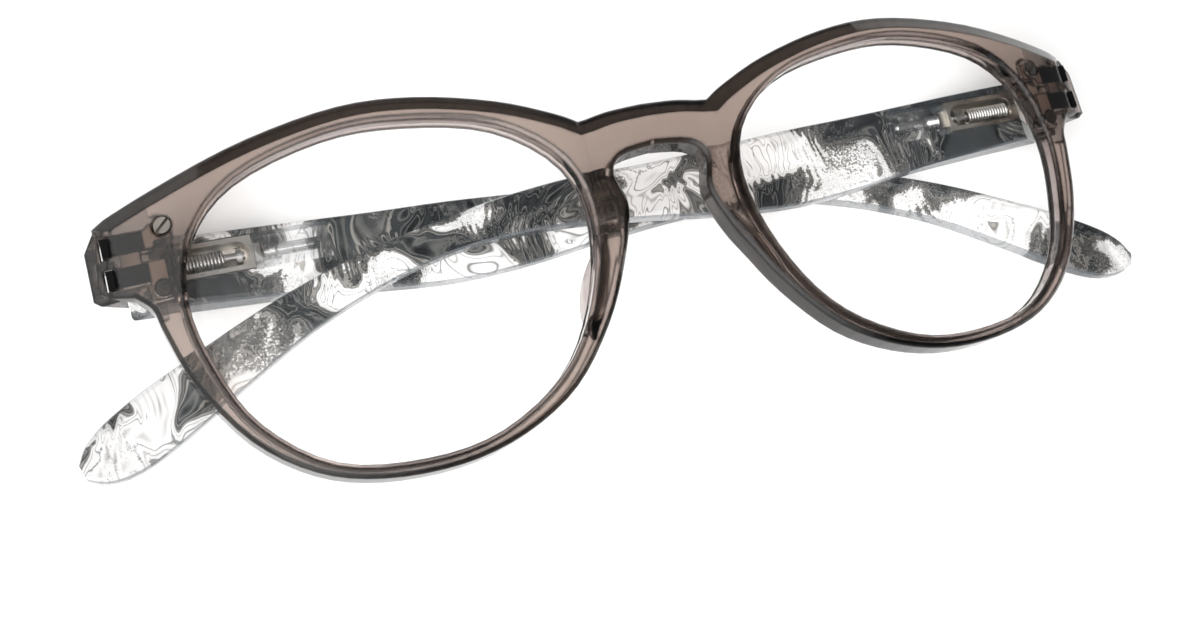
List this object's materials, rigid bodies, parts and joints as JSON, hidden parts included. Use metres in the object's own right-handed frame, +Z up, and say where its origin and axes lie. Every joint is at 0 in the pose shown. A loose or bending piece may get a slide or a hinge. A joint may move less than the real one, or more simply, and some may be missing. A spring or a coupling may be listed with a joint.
{
  "type": "reading glasses",
  "caption": "Folded pair of reading glasses: rounded plastic rims with a keyhole bridge, marbled clear arms that fold on sprung hinges.",
  "frame": {"origin": "centre of the bounding box at table level: the folded glasses lie on their arms with the front on top", "axes": "+X runs along the front towards the wearer's left lens, +Y runs from the rims' lower edges towards the brow, +Z points up out of the front's outer face"},
  "size_m": [0.1496, 0.0466, 0.0221],
  "materials": {
    "front_frame": "Front with two rims, keyhole bridge, moulded nose pads and end pieces",
    "lens_left": "Left reading lens with a ridge that stands in the rim's groove",
    "temple_arm_left": "Left arm of marbled clear resin, with the drop behind the ear",
    "hinge_fork_left": "Left hinge leaf with two lugs, sunk in the end piece",
    "anchor_stud_upper_left": "Left upper stud through the front into the hinge leaf",
    "anchor_stud_lower_left": "Left lower stud through the front into the hinge leaf",
    "hinge_screw_left": "Left hinge screw on the fold axis",
    "hinge_slide_left": "Left hinge tongue with its eye and the rod through the spring",
    "hinge_spring_left": "Left helical spring in the housing's window",
    "spring_nut_left": "Left nut at the rod's end that the spring bears on",
    "hinge_housing_left": "Left spring housing let into the arm's inner face",
    "core_pin_left": "Left barbed core pin behind the housing, inside the arm",
    "lens_right": "Right reading lens with a ridge that stands in the rim's groove",
    "temple_arm_right": "Right arm of marbled clear resin, with the drop behind the ear",
    "hinge_fork_right": "Right hinge leaf with two lugs, sunk in the end piece",
    "anchor_stud_upper_right": "Right upper stud through the front into the hinge leaf",
    "anchor_stud_lower_right": "Right lower stud through the front into the hinge leaf",
    "hinge_screw_right": "Right hinge screw on the fold axis",
    "hinge_slide_right": "Right hinge tongue with its eye and the rod through the spring",
    "hinge_spring_right": "Right helical spring in the housing's window",
    "spring_nut_right": "Right nut at the rod's end that the spring bears on",
    "hinge_housing_right": "Right spring housing let into the arm's inner face",
    "core_pin_right": "Right barbed core pin behind the housing, inside the arm"
  },
  "bodies": {
    "front": {"front_frame": "front_frame", "lens_left": "lens_left", "hinge_fork_left": "hinge_fork_left", "anchor_stud_upper_left": "anchor_stud_upper_left", "anchor_stud_lower_left": "anchor_stud_lower_left", "hinge_screw_left": "hinge_screw_left", "lens_right": "lens_right", "hinge_fork_right": "hinge_fork_right", "anchor_stud_upper_right": "anchor_stud_upper_right", "anchor_stud_lower_right": "anchor_stud_lower_right", "hinge_screw_right": "hinge_screw_right"},
    "knuckle_left": {"hinge_slide_left": "hinge_slide_left", "spring_nut_left": "spring_nut_left"},
    "arm_left": {"temple_arm_left": "temple_arm_left", "hinge_housing_left": "hinge_housing_left", "core_pin_left": "core_pin_left", "hinge_spring_left": "hinge_spring_left"},
    "knuckle_right": {"hinge_slide_right": "hinge_slide_right", "spring_nut_right": "spring_nut_right"},
    "arm_right": {"temple_arm_right": "temple_arm_right", "hinge_housing_right": "hinge_housing_right", "core_pin_right": "core_pin_right", "hinge_spring_right": "hinge_spring_right"}
  },
  "joints": [
    {"name": "fold_left", "type": "hinge", "parent": "front", "child": "knuckle_left", "pos_m": [0.06462, 0.0105, 0.00725], "axis": [-0.0055, -0.999, 0.0446], "range_deg": [0, 91.68]},
    {"name": "flex_left", "type": "slide", "parent": "knuckle_left", "child": "arm_left", "axis": [-0.9997, 0.0065, 0.0238], "range_m": [0, 0.0012], "stiffness_N_per_m": 3000},
    {"name": "fold_right", "type": "hinge", "parent": "front", "child": "knuckle_right", "pos_m": [-0.06358, 0.0105, 0.00658], "axis": [0.0055, 0.999, -0.0446], "range_deg": [0, 88.54]},
    {"name": "flex_right", "type": "slide", "parent": "knuckle_right", "child": "arm_right", "axis": [0.9998, -0.0064, -0.02], "range_m": [0, 0.0012], "stiffness_N_per_m": 3000}
  ]
}
